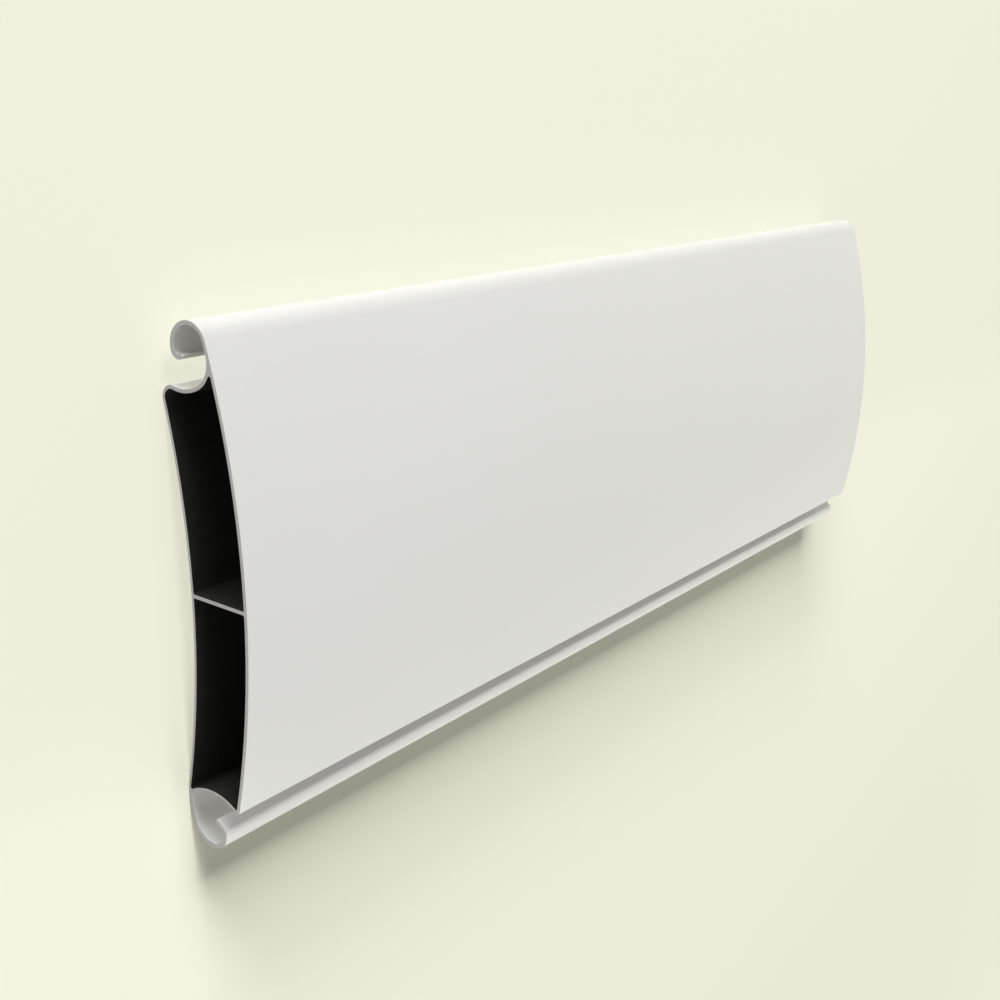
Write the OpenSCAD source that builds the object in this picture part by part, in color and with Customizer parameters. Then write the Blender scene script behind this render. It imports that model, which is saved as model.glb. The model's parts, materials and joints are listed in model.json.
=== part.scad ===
// Roller shutter slat: one extruded aluminium section, cut to length, lying on its hollow rear face.
// X runs along the slat, +Y points to the upper hook, and Z rises from the rear to the bowed front face.
// Heights of the section are measured along Y from the web, and depths along Z from the floor.

/* [Stock] */
// Length that the slat is cut to
length = 300; // [100:10:1000]
// Depth from the rear rest plane to the crown of the front face
depth = 20; // [18.5:0.1:21.5]
// Cover of one hanging slat, from hook to hook
cover = 100; // [90:1:110]

/* [Walls] */
// Wall of the front face
face_wall = 0.78; // [0.5:0.02:1.2]
// Wall of the rear face
back_wall = 0.56; // [0.4:0.02:1]
// Web between the two chambers
web_wall = 0.78; // [0.5:0.02:1.5]
// Arch that closes the lower chamber
arch_wall = 0.5; // [0.4:0.05:1]
// Wall of the saddle, from the bead to the front face
saddle_wall = 0.78; // [0.5:0.02:1.2]
// Wall of the two hooks
hook_wall = 0.98; // [0.75:0.02:1.4]

/* [Body] */
// Radius of the bowed front face
face_radius = 183.5; // [160:0.5:220]
// Crown of the front face, above the web
face_crown = -0.4; // [-3:0.1:3]
// Rise of the rear face above the floor at its crown
back_rise = 4.65; // [4:0.05:5]
// Fall of the web towards the front face, in degrees
web_fall = 2.5; // [-5:0.5:5]
// Fillet in the corners of the chambers
chamber_fillet = 0.35; // [0.2:0.05:0.5]
// Rounding of the upper chamber's tip, between the front face and the saddle
tip_fillet = 0.45; // [0.2:0.05:0.6]

/* [Upper hook] */
// Centre of the curl, above the web
curl_height = 49.7; // [46:0.1:54]
// Outer radius of the curl
curl_radius = 4.9; // [4.4:0.1:5.4]
// Direction from the curl's centre at which its lip begins, in degrees from +Y
curl_end = -103; // [-110:1:-95]
// Outer radius of the curl's lip
lip_radius = 2.1; // [1.8:0.1:2.6]
// Turn of the lip past the bottom of the curl, in degrees
lip_turn = 20; // [0:1:30]
// Gap between the lip and the saddle
channel_gap = 5.5; // [5:0.05:6.5]
// Radius of the saddle's upper face
saddle_radius = 9; // [8.5:0.1:9.5]
// Depth of the saddle's lowest line
saddle_depth = 5.6; // [5:0.1:6.2]
// Radius of the neck that leads the saddle into the front face
neck_radius = 5.2; // [4.7:0.1:5.7]
// Outer radius of the bead behind the saddle
bead_radius = 2.5; // [2.2:0.05:3]

/* [Lower hook] */
// Gap between the hook's bowl and the crown of the arch
hook_gap = 11.5; // [10.5:0.1:12.5]
// Radius of the arch on its chamber side
arch_radius = 12; // [11.2:0.1:14]
// Crown of the arch, behind the middle of the chamber
arch_offset = 0.95; // [0:0.05:2]
// Rearmost line of the hook, above its lowest edge
heel_height = 9.7; // [9:0.1:10.5]
// Outer radius of the hook's back
heel_radius = 17.5; // [15:0.5:20]
// Outer radius of the rear half of the bowl
bowl_radius = 6.25; // [5.8:0.05:6.7]
// Outer radius of the front half of the bowl
toe_radius = 3.87; // [3.4:0.05:4.2]
// Direction from the toe's centre at which the toe bends to its lip, in degrees from +Y
toe_end = 85; // [75:1:95]
// Inner radius of the bend into the toe's lip
toe_bend = 0.32; // [0.2:0.02:0.5]
// Direction that the toe's lip faces, in degrees from +Y
toe_lip_facing = 42; // [30:1:50]
// Straight length of the toe's lip
toe_lip = 2.4; // [1.5:0.1:3]
// Rounding of the front face's lower edge
edge_radius = 0.6; // [0.3:0.05:0.8]
// Fillet where the arch meets the hook's back
root_fillet = 0.6; // [0.3:0.05:1]

/* [Hidden] */
powder_white = [0.88, 0.88, 0.86];
// Largest distance between an arc and its chords
chord_sag = 0.008;
full_turn = 360;
half_turn = 180;
quarter_turn = 90;

function unit(a) = [cos(a), sin(a)];
function heading(p) = atan2(p[1], p[0]);
function leg(hypotenuse, side) = sqrt(pow(hypotenuse, 2) - pow(side, 2));
function steps(r, turn) = max(2, ceil(abs(turn) / (2 * acos(1 - chord_sag / r))));

// Points of an arc without its last one, which the next stretch of the outline brings
function arc(c, r, from, to) =
    let (n = steps(r, to - from))
    [for (i = [0 : n - 1]) c + r * unit(from + (to - from) * i / n)];

// Points of an arc with its last one, before a straight stretch
function arc_to_line(c, r, from, to) = concat(arc(c, r, from, to), [c + r * unit(to)]);

// Point where two circles cross, on the left (side = 1) or right (side = -1) of the line from p to q
function meet(p, p_radius, q, q_radius, side) =
    let (d = norm(q - p),
         along = (pow(d, 2) + pow(p_radius, 2) - pow(q_radius, 2)) / (2 * d),
         way = (q - p) / d)
    p + along * way + side * leg(p_radius, along) * [-way[1], way[0]];

// Point where a line through p in direction a leaves a circle
function line_meet(p, a, c, r) =
    let (middle = (c - p) * unit(a),
         off = norm(c - p - middle * unit(a)))
    p + (middle + leg(r, off)) * unit(a);

// Front face and curl, which is tangent to the face and thickens towards its lip
face = [face_crown, depth - face_radius];
face_inner = face_radius - face_wall;
curl = [curl_height, face[1] + leg(face_radius - curl_radius, curl_height - face_crown)];
curl_start = heading(curl - face);
curl_shift = (hook_wall - face_wall) / 2;
curl_core = curl + curl_shift * unit(curl_start);
curl_inner = curl_radius - face_wall - curl_shift;
lip_inner = lip_radius - hook_wall;
lip = curl + (curl_radius - lip_radius) * unit(curl_end);
lip_core = curl_core + (curl_inner - lip_inner) * unit(curl_end);
lip_end = -half_turn - lip_turn;
lip_tip = (lip + lip_core + (lip_radius + lip_inner) * unit(lip_end)) / 2;

// Saddle under the curl, the neck that leads it into the front face, and the bead that rests on the floor
lip_underside = lip[0] - lip_radius;
saddle = [lip_underside - channel_gap + saddle_radius, saddle_depth];
saddle_under = saddle_radius + saddle_wall;
neck = meet(face, face_inner - neck_radius, saddle, saddle_radius - neck_radius, 1);
neck_under = neck_radius + saddle_wall;
neck_start = heading(neck - face);
neck_end = heading(neck - saddle);
bead = [saddle[0] - leg(saddle_radius + bead_radius, saddle_depth - bead_radius), bead_radius];

// Lower hook, hung from the heel that also rests on the floor
hook_floor = lip_underside - cover;
hook_low = hook_floor - hook_wall;
heel = [hook_low + heel_height, heel_radius];
bowl_height = hook_low + bowl_radius;
bowl = [bowl_height, heel_radius - leg(heel_radius - bowl_radius, bowl_height - heel[0])];
toe = [hook_low + toe_radius, bowl[1]];
bend_radius = toe_bend + hook_wall;
toe_turn = toe_end - full_turn;
toe_lip_turn = toe_lip_facing - full_turn;
bend = toe + (toe_radius - bend_radius) * unit(toe_turn);
toe_lip_run = toe_lip * unit(toe_lip_turn - quarter_turn);
toe_tip = bend + (bend_radius - hook_wall / 2) * unit(toe_lip_turn) + toe_lip_run;

// Rear face, one arc tangent to the bead and the heel
back_crown = (pow(bead[0], 2) - pow(heel[0], 2) - 2 * back_rise * (bead_radius - heel_radius))
    / (2 * (bead[0] - heel[0]));
back_radius = (pow(bead[0] - back_crown, 2) + pow(back_rise, 2)) / (2 * back_rise) - bead_radius;
back = [back_crown, back_rise - back_radius];
back_inner = back_radius + back_wall;
back_start = heading(bead - back);
back_end = heading(heel - back);
heel_start = heading(back - heel);
heel_end = heading(bowl - heel);

// Inside of the bead, where the saddle's wall thins to the rear face's
bead_inner = bead_radius - (saddle_wall + back_wall) / 2;
bead_core = meet(back, back_inner + bead_inner, saddle, saddle_under + bead_inner, 1);

// Arch between the lower chamber and the hook
arch_crown = hook_floor + hook_gap + arch_wall;
arch_front = face[1] + leg(face_inner, arch_crown - face_crown);
arch_rear = back[1] + leg(back_inner, arch_crown - back_crown);
arch = [arch_crown - arch_radius, (arch_front + arch_rear) / 2 - arch_offset];
arch_inner = arch_radius - arch_wall;
root = meet(heel, heel_radius - hook_wall - root_fillet, arch, arch_inner - root_fillet, 1);
edge = meet(face, face_radius - edge_radius, arch, arch_inner + edge_radius, -1);

// Web across the middle of the body, and the fillet centres of the chambers
web_middle = [0, (depth + back_rise) / 2];
web_run = quarter_turn + web_fall;
web_lift = web_wall / 2 + chamber_fillet;
front_fillet = face_inner - chamber_fillet;
rear_fillet = back_inner + chamber_fillet;
function web_corner(side, circle_centre, circle_radius) =
    line_meet(web_middle + side * web_lift * unit(web_fall), web_run, circle_centre, circle_radius);
upper_front = web_corner(1, face, front_fillet);
upper_rear = web_corner(1, back, rear_fillet);
lower_front = web_corner(-1, face, front_fillet);
lower_rear = web_corner(-1, back, rear_fillet);
upper_tip = meet(face, face_inner - tip_fillet, neck, neck_under + tip_fillet, 1);
lower_tip = meet(face, front_fillet, arch, arch_radius + chamber_fillet, -1);
lower_heel = meet(back, rear_fillet, arch, arch_radius + chamber_fillet, -1);

// Middle of the section's height, which lies on the part's origin
section_middle = (curl[0] + curl_radius + hook_low) / 2;

// Outer contour: front face, curl, saddle, bead, rear face, lower hook and arch
function outer_contour() = concat(
    arc(face, face_radius, heading(edge - face), curl_start),
    arc(curl, curl_radius, curl_start, curl_end),
    arc(lip, lip_radius, curl_end, lip_end),
    arc(lip_tip, hook_wall / 2, lip_end, lip_end - half_turn),
    arc(lip_core, lip_inner, lip_end, curl_end),
    arc(curl_core, curl_inner, curl_end, curl_start),
    arc(face, face_inner, curl_start, neck_start),
    arc(neck, neck_radius, neck_start, neck_end),
    arc(saddle, saddle_radius, neck_end, heading(bead - saddle) + full_turn),
    arc(bead, bead_radius, heading(saddle - bead), heading(back - bead)),
    arc(back, back_radius, back_start, back_end),
    arc(heel, heel_radius, heel_start, heel_end),
    arc(bowl, bowl_radius, heel_end, -half_turn),
    arc(toe, toe_radius, -half_turn, toe_turn),
    arc_to_line(bend, bend_radius, toe_turn, toe_lip_turn),
    arc_to_line(toe_tip, hook_wall / 2, toe_lip_turn, toe_lip_turn - half_turn),
    arc(bend, toe_bend, toe_lip_turn, toe_turn),
    arc(toe, toe_radius - hook_wall, toe_turn, -half_turn),
    arc(bowl, bowl_radius - hook_wall, -half_turn, heel_end),
    arc(heel, heel_radius - hook_wall, heel_end, heading(root - heel)),
    arc(root, root_fillet, heading(root - heel), heading(root - arch)),
    arc(arch, arch_inner, heading(root - arch), heading(edge - arch)),
    arc(edge, edge_radius, heading(arch - edge) + full_turn, heading(edge - face)));

// Chamber above the web, closed by the saddle and the bead
function upper_chamber() = concat(
    arc(face, face_inner, heading(upper_front - face), heading(upper_tip - face)),
    arc(upper_tip, tip_fillet, heading(upper_tip - face), heading(neck - upper_tip)),
    arc(neck, neck_under, heading(upper_tip - neck), neck_end),
    arc(saddle, saddle_under, neck_end, heading(bead_core - saddle) + full_turn),
    arc(bead_core, bead_inner, heading(saddle - bead_core), heading(back - bead_core)),
    arc(back, back_inner, heading(bead_core - back), heading(upper_rear - back)),
    arc_to_line(upper_rear, chamber_fillet, heading(back - upper_rear), web_fall - half_turn),
    arc(upper_front, chamber_fillet, web_fall + half_turn, heading(upper_front - face)));

// Chamber under the web, closed by the arch
function lower_chamber() = concat(
    arc(face, face_inner, heading(lower_tip - face), heading(lower_front - face)),
    arc_to_line(lower_front, chamber_fillet, heading(lower_front - face), web_fall),
    arc(lower_rear, chamber_fillet, web_fall, heading(back - lower_rear)),
    arc(back, back_inner, heading(lower_rear - back), heading(lower_heel - back)),
    arc(lower_heel, chamber_fillet, heading(back - lower_heel), heading(arch - lower_heel) - full_turn),
    arc(arch, arch_radius, heading(lower_heel - arch), heading(lower_tip - arch)),
    arc(lower_tip, chamber_fillet, heading(arch - lower_tip) + full_turn, heading(lower_tip - face)));

module section() {
    translate([-section_middle, 0]) difference() {
        polygon(outer_contour());
        polygon(upper_chamber());
        polygon(lower_chamber());
    }
}

module slat() {
    color(powder_white) rotate([90, 0, 90]) linear_extrude(height = length, center = true) section();
}

slat();
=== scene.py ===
"""Looks of an extruded roller shutter slat: white powder coat, sawn ends, black chambers."""

from __future__ import annotations

import json
import logging
import math
from dataclasses import dataclass, field
from enum import Enum
from typing import Any, Mapping, Sequence

import bpy
from mathutils import Matrix, Vector

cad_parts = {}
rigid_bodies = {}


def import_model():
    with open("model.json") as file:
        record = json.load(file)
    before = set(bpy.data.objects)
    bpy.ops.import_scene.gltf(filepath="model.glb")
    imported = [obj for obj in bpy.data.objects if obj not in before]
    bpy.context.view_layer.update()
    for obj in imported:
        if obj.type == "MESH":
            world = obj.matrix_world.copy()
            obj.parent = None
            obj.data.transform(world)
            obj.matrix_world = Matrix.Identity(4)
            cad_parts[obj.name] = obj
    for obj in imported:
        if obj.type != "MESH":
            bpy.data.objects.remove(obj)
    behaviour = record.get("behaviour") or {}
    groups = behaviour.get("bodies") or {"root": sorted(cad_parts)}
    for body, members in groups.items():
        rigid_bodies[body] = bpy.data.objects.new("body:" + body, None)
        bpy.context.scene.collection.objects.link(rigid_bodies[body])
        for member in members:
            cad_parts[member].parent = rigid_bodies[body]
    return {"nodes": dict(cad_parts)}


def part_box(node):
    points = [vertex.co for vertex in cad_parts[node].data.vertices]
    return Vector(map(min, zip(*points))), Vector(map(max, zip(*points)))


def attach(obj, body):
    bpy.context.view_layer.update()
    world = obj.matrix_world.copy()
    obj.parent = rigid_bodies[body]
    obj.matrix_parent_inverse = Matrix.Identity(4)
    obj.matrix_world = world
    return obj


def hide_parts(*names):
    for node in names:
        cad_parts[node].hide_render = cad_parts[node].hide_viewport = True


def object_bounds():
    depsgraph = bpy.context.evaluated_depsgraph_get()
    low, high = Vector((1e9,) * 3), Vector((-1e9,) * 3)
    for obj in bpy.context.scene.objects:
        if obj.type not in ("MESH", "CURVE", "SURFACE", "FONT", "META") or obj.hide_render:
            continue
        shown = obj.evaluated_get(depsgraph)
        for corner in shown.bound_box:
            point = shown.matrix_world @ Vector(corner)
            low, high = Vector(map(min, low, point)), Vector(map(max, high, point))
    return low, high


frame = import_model()
CAD_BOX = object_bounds()

MM = 0.001
SLAT_NODE = "slat"
BODY = "root"
LOG = logging.getLogger("slat")

Colour = tuple[float, float, float]
Place = tuple[float, float, float]

BACKDROP: Colour = (0.838, 0.830, 0.694)
MEAN_NOISE = 0.5
RING_SPACING = math.pi / 10


class Wire:
    """A value in a node tree that takes part in Python expressions."""

    def __init__(self, graph: Graph, socket: bpy.types.NodeSocket) -> None:
        """Keeps the graph that makes new nodes and the output socket that holds the value."""
        self.graph = graph
        self.socket = socket

    def __add__(self, other: Wire | float) -> Wire:
        """Adds a value."""
        return self.graph.maths("ADD", self, other)

    def __radd__(self, other: float) -> Wire:
        """Adds to a number."""
        return self.graph.maths("ADD", other, self)

    def __sub__(self, other: Wire | float) -> Wire:
        """Takes a value away."""
        return self.graph.maths("SUBTRACT", self, other)

    def __rsub__(self, other: float) -> Wire:
        """Takes this value from a number."""
        return self.graph.maths("SUBTRACT", other, self)

    def __mul__(self, other: Wire | float) -> Wire:
        """Multiplies by a value."""
        return self.graph.maths("MULTIPLY", self, other)

    def __rmul__(self, other: float) -> Wire:
        """Multiplies a number."""
        return self.graph.maths("MULTIPLY", other, self)


class Graph:
    """The nodes of one material or of the world."""

    def __init__(self, tree: bpy.types.NodeTree) -> None:
        """Empties the node tree.

        Args:
            tree: The tree that this graph fills.
        """
        self.tree = tree
        tree.nodes.clear()

    def add(
        self,
        kind: str,
        settings: Mapping[str, Any] | None = None,
        sockets: Mapping[str, Any] | None = None,
    ) -> bpy.types.Node:
        """Adds one node.

        Args:
            kind: The node's type name.
            settings: Attributes of the node, set before its sockets.
            sockets: A value or a Wire for each input, by name or identifier.

        Returns:
            The new node.
        """
        node = self.tree.nodes.new(kind)
        for name, value in (settings or {}).items():
            setattr(node, name, value)
        for name, value in (sockets or {}).items():
            socket = next(s for s in node.inputs if name in (s.identifier, s.name))
            if isinstance(value, Wire):
                self.tree.links.new(value.socket, socket)
            else:
                socket.default_value = value
        return node

    def wire(self, node: bpy.types.Node, output: str) -> Wire:
        """Gives a node's output, by name or identifier, as a Wire."""
        return Wire(self, next(s for s in node.outputs if output in (s.identifier, s.name)))

    def maths(self, operation: str, first: Wire | float, second: Wire | float) -> Wire:
        """Adds a Math node.

        Args:
            operation: The Math node's operation.
            first: Its first value.
            second: Its second value.

        Returns:
            The result.
        """
        settings = {"operation": operation}
        node = self.add("ShaderNodeMath", settings, {"Value": first, "Value_001": second})
        return self.wire(node, "Value")

    def position(self, scale: Sequence[float] = (1.0, 1.0, 1.0)) -> Wire:
        """Gives the place on the piece, stretched along each axis.

        Args:
            scale: The factor on each axis.

        Returns:
            The vector for a texture.
        """
        place = self.wire(self.add("ShaderNodeTexCoord"), "Object")
        mapped = self.add("ShaderNodeMapping", sockets={"Vector": place, "Scale": scale})
        return self.wire(mapped, "Vector")

    def noise(self, vector: Wire, size: float, detail: float = 2.0) -> Wire:
        """Gives soft noise from 0 to 1.

        Args:
            vector: The place on the piece.
            size: How far apart the blotches are, in metres.
            detail: How many finer layers it has.

        Returns:
            The noise.
        """
        sockets = {"Vector": vector, "Scale": 1.0 / size, "Detail": detail}
        return self.wire(self.add("ShaderNodeTexNoise", sockets=sockets), "Fac")

    def blend(self, share: Wire, low: Colour, high: Colour) -> Wire:
        """Mixes two colours.

        Args:
            share: The second colour's share.
            low: The first colour.
            high: The second colour.

        Returns:
            The mixed colour.
        """
        settings = {"data_type": "RGBA"}
        sockets = {"Factor_Float": share, "A_Color": (*low, 1.0), "B_Color": (*high, 1.0)}
        return self.wire(self.add("ShaderNodeMix", settings, sockets), "Result_Color")

    def bump(self, height: Wire, depth: float = 1.0) -> Wire:
        """Gives the normal of a relief.

        Args:
            height: The relief, in metres or as a share of its depth.
            depth: The relief's depth in metres, where the relief is a share of it.

        Returns:
            The normal.
        """
        sockets = {"Height": height, "Distance": depth}
        return self.wire(self.add("ShaderNodeBump", sockets=sockets), "Normal")

    def seen(self) -> Wire:
        """Gives 1 where a ray shows the background: to the camera, in a reflection or through glass."""
        rays = self.add("ShaderNodeLightPath")
        glossy, through = self.wire(rays, "Is Glossy Ray"), self.wire(rays, "Is Transmission Ray")
        mirrored = self.maths("MAXIMUM", glossy, through)
        return self.maths("MAXIMUM", self.wire(rays, "Is Camera Ray"), mirrored)

    def fade(self, value: Wire, span: tuple[float, float], ends: tuple[float, float]) -> Wire:
        """Turns a value into another one that changes smoothly over a span.

        Args:
            value: The value that is read.
            span: Where the change begins and where it is complete.
            ends: The result before the change and after it.

        Returns:
            The result.
        """
        node = self.add(
            "ShaderNodeMapRange",
            {"interpolation_type": "SMOOTHSTEP"},
            {
                "Value": value,
                "From Min": span[0],
                "From Max": span[1],
                "To Min": ends[0],
                "To Max": ends[1],
            },
        )
        return self.wire(node, "Result")

    def mix(self, share: Wire, first: Wire, second: Wire) -> Wire:
        """Mixes two shaders.

        Args:
            share: The second shader's share.
            first: The first shader.
            second: The second shader.

        Returns:
            The mixed shader.
        """
        sockets = {"Fac": share, "Shader": first, "Shader_001": second}
        return self.wire(self.add("ShaderNodeMixShader", sockets=sockets), "Shader")

    def surface(self, shader: Wire, output: str = "ShaderNodeOutputMaterial") -> None:
        """Links a shader to a new output node of that type."""
        self.add(output, sockets={"Surface": shader})


def new_material(name: str) -> tuple[bpy.types.Material, Graph]:
    """Makes an empty node material.

    Args:
        name: The material's name.

    Returns:
        The material and its graph.
    """
    material = bpy.data.materials.new(name)
    material.use_nodes = True
    return material, Graph(material.node_tree)


@dataclass(frozen=True)
class PowderCoat:
    """White polyester powder coat on an extruded face, in semi-gloss."""

    light: Colour = (0.80, 0.797, 0.777)
    deep: Colour = (0.78, 0.777, 0.757)
    roughness: float = 0.20
    roughness_spread: float = 0.06
    gloss_weight: float = 0.4
    gloss_roughness: float = 0.06
    blotch: float = 45 * MM
    blotch_layers: float = 3.0
    peel: float = 2.4 * MM
    peel_layers: float = 1.0
    peel_depth: float = 0.003 * MM
    die_line: float = 0.9 * MM
    die_line_layers: float = 3.0
    die_line_depth: float = 0.0012 * MM
    die_line_stretch: float = 0.004

    def material(self) -> bpy.types.Material:
        """Builds the coat.

        Returns:
            The material.
        """
        material, graph = new_material("powder_coat")
        place = graph.position()
        along = graph.position((self.die_line_stretch, 1.0, 1.0))
        blotch = graph.noise(place, self.blotch, self.blotch_layers)
        peel = graph.noise(place, self.peel, self.peel_layers)
        die_lines = graph.noise(along, self.die_line, self.die_line_layers)
        relief = peel * self.peel_depth + die_lines * self.die_line_depth
        unevenness = blotch + die_lines - 2 * MEAN_NOISE
        sockets = {
            "Base Color": graph.blend(blotch, self.deep, self.light),
            "Roughness": unevenness * self.roughness_spread + self.roughness,
            "Coat Weight": self.gloss_weight,
            "Coat Roughness": self.gloss_roughness,
            "Normal": graph.bump(relief),
        }
        shader = graph.add("ShaderNodeBsdfPrincipled", sockets=sockets)
        graph.surface(graph.wire(shader, "BSDF"))
        return material


@dataclass(frozen=True)
class SawnAluminium:
    """Bare aluminium as a circular saw leaves it."""

    light: Colour = (0.51, 0.505, 0.575)
    dark: Colour = (0.33, 0.325, 0.375)
    roughness: float = 0.34
    roughness_spread: float = 0.16
    saw_radius: float = 160 * MM
    saw_pitch: float = 0.45 * MM
    saw_wander: float = 3.0
    saw_layers: float = 3.0
    mark_depth: float = 0.006 * MM
    mark_share: float = 0.6
    grain_layers: float = 3.0

    def material(self) -> bpy.types.Material:
        """Builds the sawn metal.

        Returns:
            The material.
        """
        material, graph = new_material("sawn_aluminium")
        centred = graph.add(
            "ShaderNodeMapping",
            sockets={
                "Vector": graph.position((0.0, 1.0, 1.0)),
                "Location": (0.0, self.saw_radius, self.saw_radius),
            },
        )
        marks = graph.add(
            "ShaderNodeTexWave",
            {"wave_type": "RINGS", "rings_direction": "X"},
            {
                "Vector": graph.wire(centred, "Vector"),
                "Scale": RING_SPACING / self.saw_pitch,
                "Distortion": self.saw_wander,
                "Detail": self.saw_layers,
            },
        )
        mark = graph.wire(marks, "Fac")
        grain = graph.noise(graph.position(), self.saw_pitch, self.grain_layers)
        tone = self.mark_share * mark + (1.0 - self.mark_share) * grain
        sockets = {
            "Base Color": graph.blend(tone, self.dark, self.light),
            "Metallic": 1.0,
            "Roughness": (grain - MEAN_NOISE) * self.roughness_spread + self.roughness,
            "Normal": graph.bump(mark, self.mark_depth),
        }
        shader = graph.add("ShaderNodeBsdfPrincipled", sockets=sockets)
        graph.surface(graph.wire(shader, "BSDF"))
        return material


@dataclass(frozen=True)
class ChamberBlack:
    """Black satin walls of the two hollow chambers."""

    light: Colour = (0.029, 0.029, 0.028)
    dark: Colour = (0.019, 0.019, 0.018)
    roughness: float = 0.46
    roughness_spread: float = 0.12
    streak: float = 1.6 * MM
    streak_stretch: float = 0.01
    streak_depth: float = 0.004 * MM

    def material(self) -> bpy.types.Material:
        """Builds the black walls.

        Returns:
            The material.
        """
        material, graph = new_material("chamber_black")
        streak = graph.noise(graph.position((self.streak_stretch, 1.0, 1.0)), self.streak)
        sockets = {
            "Base Color": graph.blend(streak, self.dark, self.light),
            "Roughness": (streak - MEAN_NOISE) * self.roughness_spread + self.roughness,
            "Normal": graph.bump(streak, self.streak_depth),
        }
        shader = graph.add("ShaderNodeBsdfPrincipled", sockets=sockets)
        graph.surface(graph.wire(shader, "BSDF"))
        return material


@dataclass(frozen=True)
class FloorFinish:
    """Cream matt floor: it keeps the shadow on the lower hook's side and is plain elsewhere.

    The light that it sends back to the slat takes the more neutral bounce colour.
    """

    colour: Colour = (0.930, 0.922, 0.773)
    bounce: Colour = (0.760, 0.758, 0.735)
    plain: Colour = BACKDROP
    roughness: float = 0.6
    shadow_span: tuple[float, float] = (-55 * MM, -5 * MM)
    shadow_shares: tuple[float, float] = (0.12, 0.75)
    fade_span: tuple[float, float] = (0.20, 0.70)

    def material(self) -> bpy.types.Material:
        """Builds the floor's finish.

        Returns:
            The material.
        """
        material, graph = new_material("cream_floor")
        place = graph.position()
        axes = graph.add("ShaderNodeSeparateXYZ", sockets={"Vector": place})
        near = graph.fade(graph.wire(axes, "Y"), self.shadow_span, self.shadow_shares)
        length = graph.add("ShaderNodeVectorMath", {"operation": "LENGTH"}, {"Vector": place})
        far = graph.fade(graph.wire(length, "Value"), self.fade_span, (0.0, 1.0))
        share = near + far * (1.0 - near)
        seen = graph.seen()
        colour = graph.blend(seen, self.bounce, self.colour)
        lit = graph.add(
            "ShaderNodeBsdfPrincipled",
            sockets={"Base Color": colour, "Roughness": self.roughness},
        )
        plain = graph.add("ShaderNodeEmission", sockets={"Color": (*self.plain, 1.0), "Strength": 1.0})
        graph.surface(graph.mix(
            seen * share, graph.wire(lit, "BSDF"), graph.wire(plain, "Emission")))
        return material


class Region(Enum):
    """The surfaces of the slat, by their material slot."""

    COAT = 0
    SAWN_END = 1
    CHAMBER = 2


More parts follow.
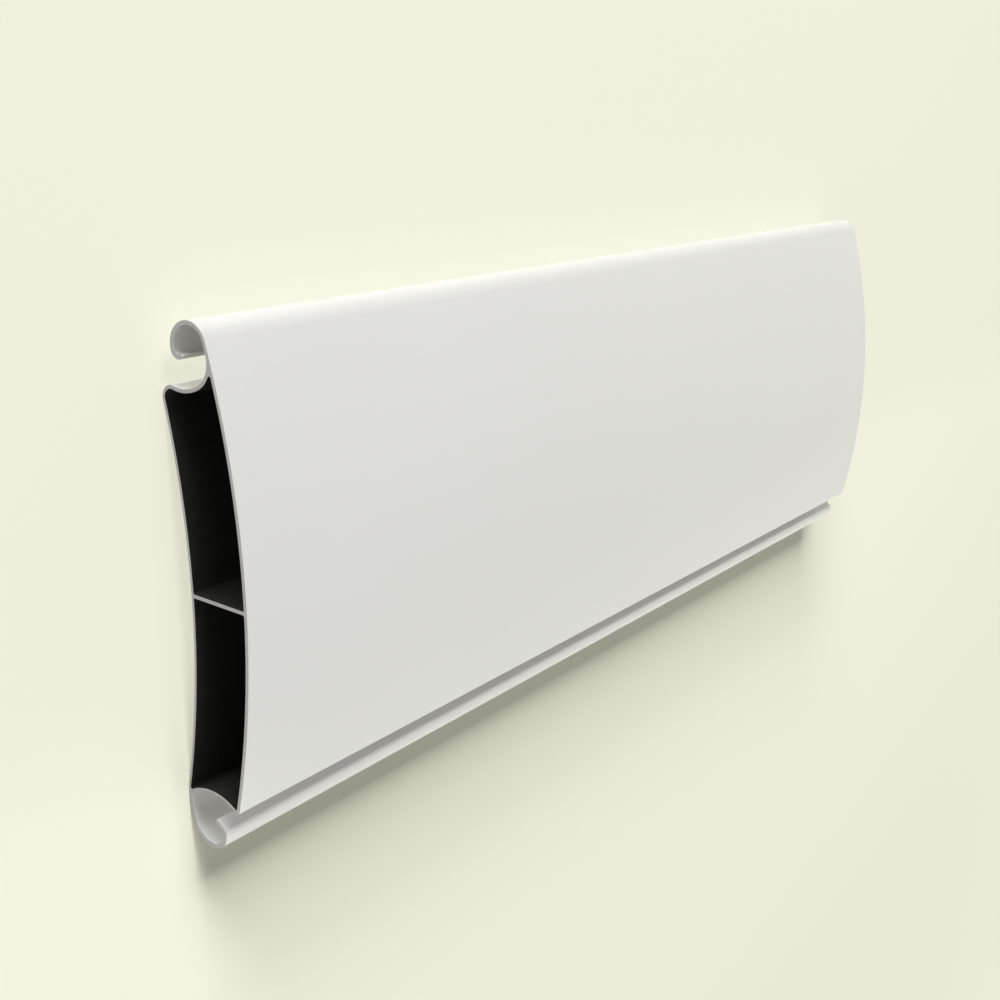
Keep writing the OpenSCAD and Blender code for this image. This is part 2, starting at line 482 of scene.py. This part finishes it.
@dataclass
class Slat:
    """The slat: a merged copy of the CAD solid with broken cut edges and its finishes."""

    name: str = "coated_slat"
    merge_distance: float = 0.001 * MM
    flat_angle_deg: float = 0.3
    edge_break: float = 0.05 * MM
    flat_end_share: float = 0.99
    end_share: float = 0.2
    web_share: float = 0.99
    web_reach: float = 5.0 * MM
    smooth_angle_deg: float = 30.0
    coat: PowderCoat = field(default_factory=PowderCoat)
    sawn: SawnAluminium = field(default_factory=SawnAluminium)
    chamber: ChamberBlack = field(default_factory=ChamberBlack)

    def build(self) -> bpy.types.Object:
        """Builds and dresses the slat.

        Returns:
            The finished piece.
        """
        low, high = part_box(SLAT_NODE)
        piece = self.copy_solid()
        self.merge_triangles()
        self.break_cut_edges(piece)
        self.dress(piece)
        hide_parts(SLAT_NODE)
        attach(piece, BODY)
        LOG.info("%s: %d faces, length %.1f mm", piece.name, len(piece.data.polygons),
                 (high.x - low.x) / MM)
        return piece

    def copy_solid(self) -> bpy.types.Object:
        """Copies the CAD solid's mesh into a new piece and makes it the only selected one.

        Returns:
            The new piece.
        """
        mesh = frame["nodes"][SLAT_NODE].data.copy()
        mesh.materials.clear()
        piece = bpy.data.objects.new(self.name, mesh)
        bpy.context.scene.collection.objects.link(piece)
        bpy.ops.object.select_all(action="DESELECT")
        piece.select_set(True)
        bpy.context.view_layer.objects.active = piece
        return piece

    def merge_triangles(self) -> None:
        """Merges the selected piece's loose triangles and dissolves the edges inside a flat face."""
        bpy.ops.mesh.customdata_custom_splitnormals_clear()
        bpy.ops.object.mode_set(mode="EDIT")
        bpy.ops.mesh.select_all(action="SELECT")
        bpy.ops.mesh.remove_doubles(threshold=self.merge_distance)
        bpy.ops.mesh.dissolve_limited(angle_limit=math.radians(self.flat_angle_deg))
        bpy.ops.object.mode_set(mode="OBJECT")

    def break_cut_edges(self, piece: bpy.types.Object) -> None:
        """Chamfers the edges that the saw left round both ends.

        Args:
            piece: The slat.
        """
        mesh = piece.data
        uses: dict[tuple[int, int], int] = {}
        for face in mesh.polygons:
            if self.is_end(face, self.flat_end_share):
                for key in face.edge_keys:
                    uses[key] = uses.get(key, 0) + 1
        self.select_nothing(mesh)
        for edge in mesh.edges:
            edge.select = uses.get(edge.key, 0) == 1
        bpy.ops.object.mode_set(mode="EDIT")
        bpy.ops.mesh.select_mode(type="EDGE")
        bpy.ops.mesh.bevel(offset=self.edge_break, segments=1, clamp_overlap=False)
        bpy.ops.object.mode_set(mode="OBJECT")

    @staticmethod
    def is_end(face: bpy.types.MeshPolygon, least: float) -> bool:
        """Says whether a face looks along the slat's length by at least that share."""
        return abs(face.normal.x) > least

    @staticmethod
    def select_nothing(mesh: bpy.types.Mesh) -> None:
        """Clears the selection of a mesh in object mode."""
        for group in (mesh.polygons, mesh.edges, mesh.vertices):
            group.foreach_set("select", [False] * len(group))

    def dress(self, piece: bpy.types.Object) -> None:
        """Gives each surface its finish and smooths the curved walls.

        Args:
            piece: The slat.
        """
        mesh = piece.data
        finishes = {
            Region.COAT: self.coat,
            Region.SAWN_END: self.sawn,
            Region.CHAMBER: self.chamber,
        }
        for region in Region:
            mesh.materials.append(finishes[region].material())
        for face in mesh.polygons:
            end = self.is_end(face, self.end_share)
            face.material_index = (Region.SAWN_END if end else Region.COAT).value
        self.paint_chambers(piece)
        bpy.ops.object.shade_smooth_by_angle(angle=math.radians(self.smooth_angle_deg))

    def paint_chambers(self, piece: bpy.types.Object) -> None:
        """Gives the chambers their finish, from the two sides of the web to the sawn ends.

        Args:
            piece: The slat, with its sawn ends already dressed.
        """
        self.select_nothing(piece.data)
        for face in piece.data.polygons:
            face.select = self.is_web(face)
        bpy.ops.object.mode_set(mode="EDIT")
        bpy.ops.mesh.select_mode(type="FACE")
        bpy.ops.mesh.select_linked(delimit={"MATERIAL"})
        piece.active_material_index = Region.CHAMBER.value
        bpy.ops.object.material_slot_assign()
        bpy.ops.object.mode_set(mode="OBJECT")

    def is_web(self, face: bpy.types.MeshPolygon) -> bool:
        """Says whether a face is a side of the web between the chambers."""
        return abs(face.normal.y) > self.web_share and abs(face.center.y) < self.web_reach


@dataclass
class Floor:
    """The plain floor that the slat lies on."""

    side: float = 12.0
    finish: FloorFinish = field(default_factory=FloorFinish)

    def build(self) -> bpy.types.Object:
        """Lays the floor at the slat's lowest point.

        Returns:
            The floor.
        """
        low, _ = CAD_BOX
        bpy.ops.mesh.primitive_plane_add(size=self.side, location=(0.0, 0.0, low.z))
        floor = bpy.context.object
        floor.name = "floor"
        bpy.ops.object.transform_apply(location=True, rotation=True, scale=True)
        floor.data.materials.append(self.finish.material())
        LOG.info("floor: %.0f m square", self.side)
        return floor


class Lit(Enum):
    """What a lamp lights: the slat alone or the floor alone.

    Every lamp is one of these, because lamps without a link change the light of those that have one.
    """

    SLAT = "slat"
    FLOOR = "floor"


@dataclass(frozen=True)
class SoftLamp:
    """A soft box that looks at the middle of the slat."""

    name: str
    place: Place
    width: float
    height: float
    watts: float
    lit: Lit

    def build(self, pieces: Mapping[Lit, bpy.types.Object]) -> bpy.types.Object:
        """Sets the lamp up.

        Args:
            pieces: The slat and the floor, of which the lamp lights one.

        Returns:
            The lamp.
        """
        bpy.ops.object.light_add(type="AREA", location=self.place)
        lamp = bpy.context.object
        lamp.name = self.name
        lamp.data.shape = "RECTANGLE"
        lamp.data.size = self.width
        lamp.data.size_y = self.height
        lamp.data.energy = self.watts
        lamp.rotation_euler = (-Vector(self.place)).to_track_quat("-Z", "Y").to_euler()
        lamp.light_linking.receiver_collection = bpy.data.collections.new(self.name)
        lamp.light_linking.receiver_collection.objects.link(pieces[self.lit])
        LOG.info("%s: %.1f W", self.name, self.watts)
        return lamp


@dataclass
class Studio:
    """Plain soft light: a dim dome that is brighter on the lower hook's side, and soft boxes."""

    backdrop: Colour = BACKDROP
    upper_dome: Colour = (0.10, 0.10, 0.103)
    lower_dome: Colour = (0.25, 0.25, 0.236)
    split_width: float = 0.2
    lamps: tuple[SoftLamp, ...] = (
        SoftLamp("key_lamp", (-0.35, 3.45, 2.00), 1.60, 1.60, 54.5, Lit.SLAT),
        SoftLamp("front_lamp", (0.50, -2.30, 2.00), 2.40, 2.40, 62.5, Lit.SLAT),
        SoftLamp("top_lamp", (0.60, -0.90, 3.20), 2.20, 2.20, 13.0, Lit.SLAT),
        SoftLamp("fill_lamp", (-2.10, 0.25, 1.00), 1.20, 1.20, 4.0, Lit.SLAT),
        SoftLamp("rim_lamp", (0.0, 2.00, 0.20), 2.40, 0.25, 24.0, Lit.SLAT),
        SoftLamp("back_lamp", (-0.35, 3.45, 2.00), 1.60, 1.60, 205.0, Lit.FLOOR),
        SoftLamp("low_lamp", (-1.00, 3.80, 0.80), 1.80, 0.80, 180.0, Lit.FLOOR),
    )

    def build(self, pieces: Mapping[Lit, bpy.types.Object]) -> None:
        """Sets up the dome and the lamps, and shows colours as they are written.

        Args:
            pieces: The slat and the floor.
        """
        scene = bpy.context.scene
        scene.view_settings.view_transform = "Standard"
        scene.world = bpy.data.worlds.new("studio_dome")
        scene.world.use_nodes = True
        graph = Graph(scene.world.node_tree)
        direction = graph.wire(graph.add("ShaderNodeTexCoord"), "Generated")
        split = graph.add("ShaderNodeSeparateXYZ", sockets={"Vector": direction})
        upper = graph.fade(graph.wire(split, "Y"), (-self.split_width, self.split_width), (0.0, 1.0))
        tone = graph.blend(upper, self.lower_dome, self.upper_dome)
        dome = graph.add("ShaderNodeBackground", sockets={"Color": tone})
        plain = graph.add("ShaderNodeBackground", sockets={"Color": (*self.backdrop, 1.0)})
        shader = graph.mix(
            graph.seen(), graph.wire(dome, "Background"), graph.wire(plain, "Background"))
        graph.surface(shader, "ShaderNodeOutputWorld")
        for lamp in self.lamps:
            lamp.build(pieces)


@dataclass
class PhotoCamera:
    """The photograph's camera, set by the crown of the slat's near end."""

    lens_mm: float = 50.0
    sensor_mm: float = 36.0
    image_px: float = 1000.0
    crown_px: tuple[float, float] = (246.5, 612.0)
    crown_distance: float = 262.8 * MM
    turn_deg: float = 36.357
    dip_deg: float = 15.704
    nearest: float = 10 * MM

    def build(self) -> bpy.types.Object:
        """Places the camera and makes it the scene's.

        Returns:
            The camera.
        """
        low, high = CAD_BOX
        crown = Vector((low.x, 0.0, high.z))
        turn, dip = math.radians(self.turn_deg), math.radians(self.dip_deg)
        right = Vector((math.sin(turn), 0.0, math.cos(turn)))
        level = Vector((math.cos(turn), 0.0, -math.sin(turn)))
        height = Vector((0.0, 1.0, 0.0))
        forward = level * math.cos(dip) - height * math.sin(dip)
        up = level * math.sin(dip) + height * math.cos(dip)
        focal_px = self.lens_mm / self.sensor_mm * self.image_px
        across = (self.crown_px[0] - self.image_px / 2) / focal_px
        down = (self.crown_px[1] - self.image_px / 2) / focal_px
        place = crown - self.crown_distance * (forward + across * right - down * up)
        bpy.ops.object.camera_add()
        camera = bpy.context.object
        camera.name = "photo_camera"
        camera.data.lens = self.lens_mm
        camera.data.sensor_width = self.sensor_mm
        camera.data.clip_start = self.nearest
        turned = Matrix((right, up, -forward)).transposed().to_4x4()
        camera.matrix_world = Matrix.Translation(place) @ turned
        bpy.context.scene.camera = camera
        LOG.info("camera: %.0f mm above the floor", place.z / MM)
        return camera


def main() -> None:
    """Builds the scene: camera, slat, floor and light."""
    logging.basicConfig(level=logging.INFO, format="%(name)s: %(message)s")
    PhotoCamera().build()
    slat = Slat().build()
    floor = Floor().build()
    Studio().build({Lit.SLAT: slat, Lit.FLOOR: floor})


if __name__ == "__main__":
    main()
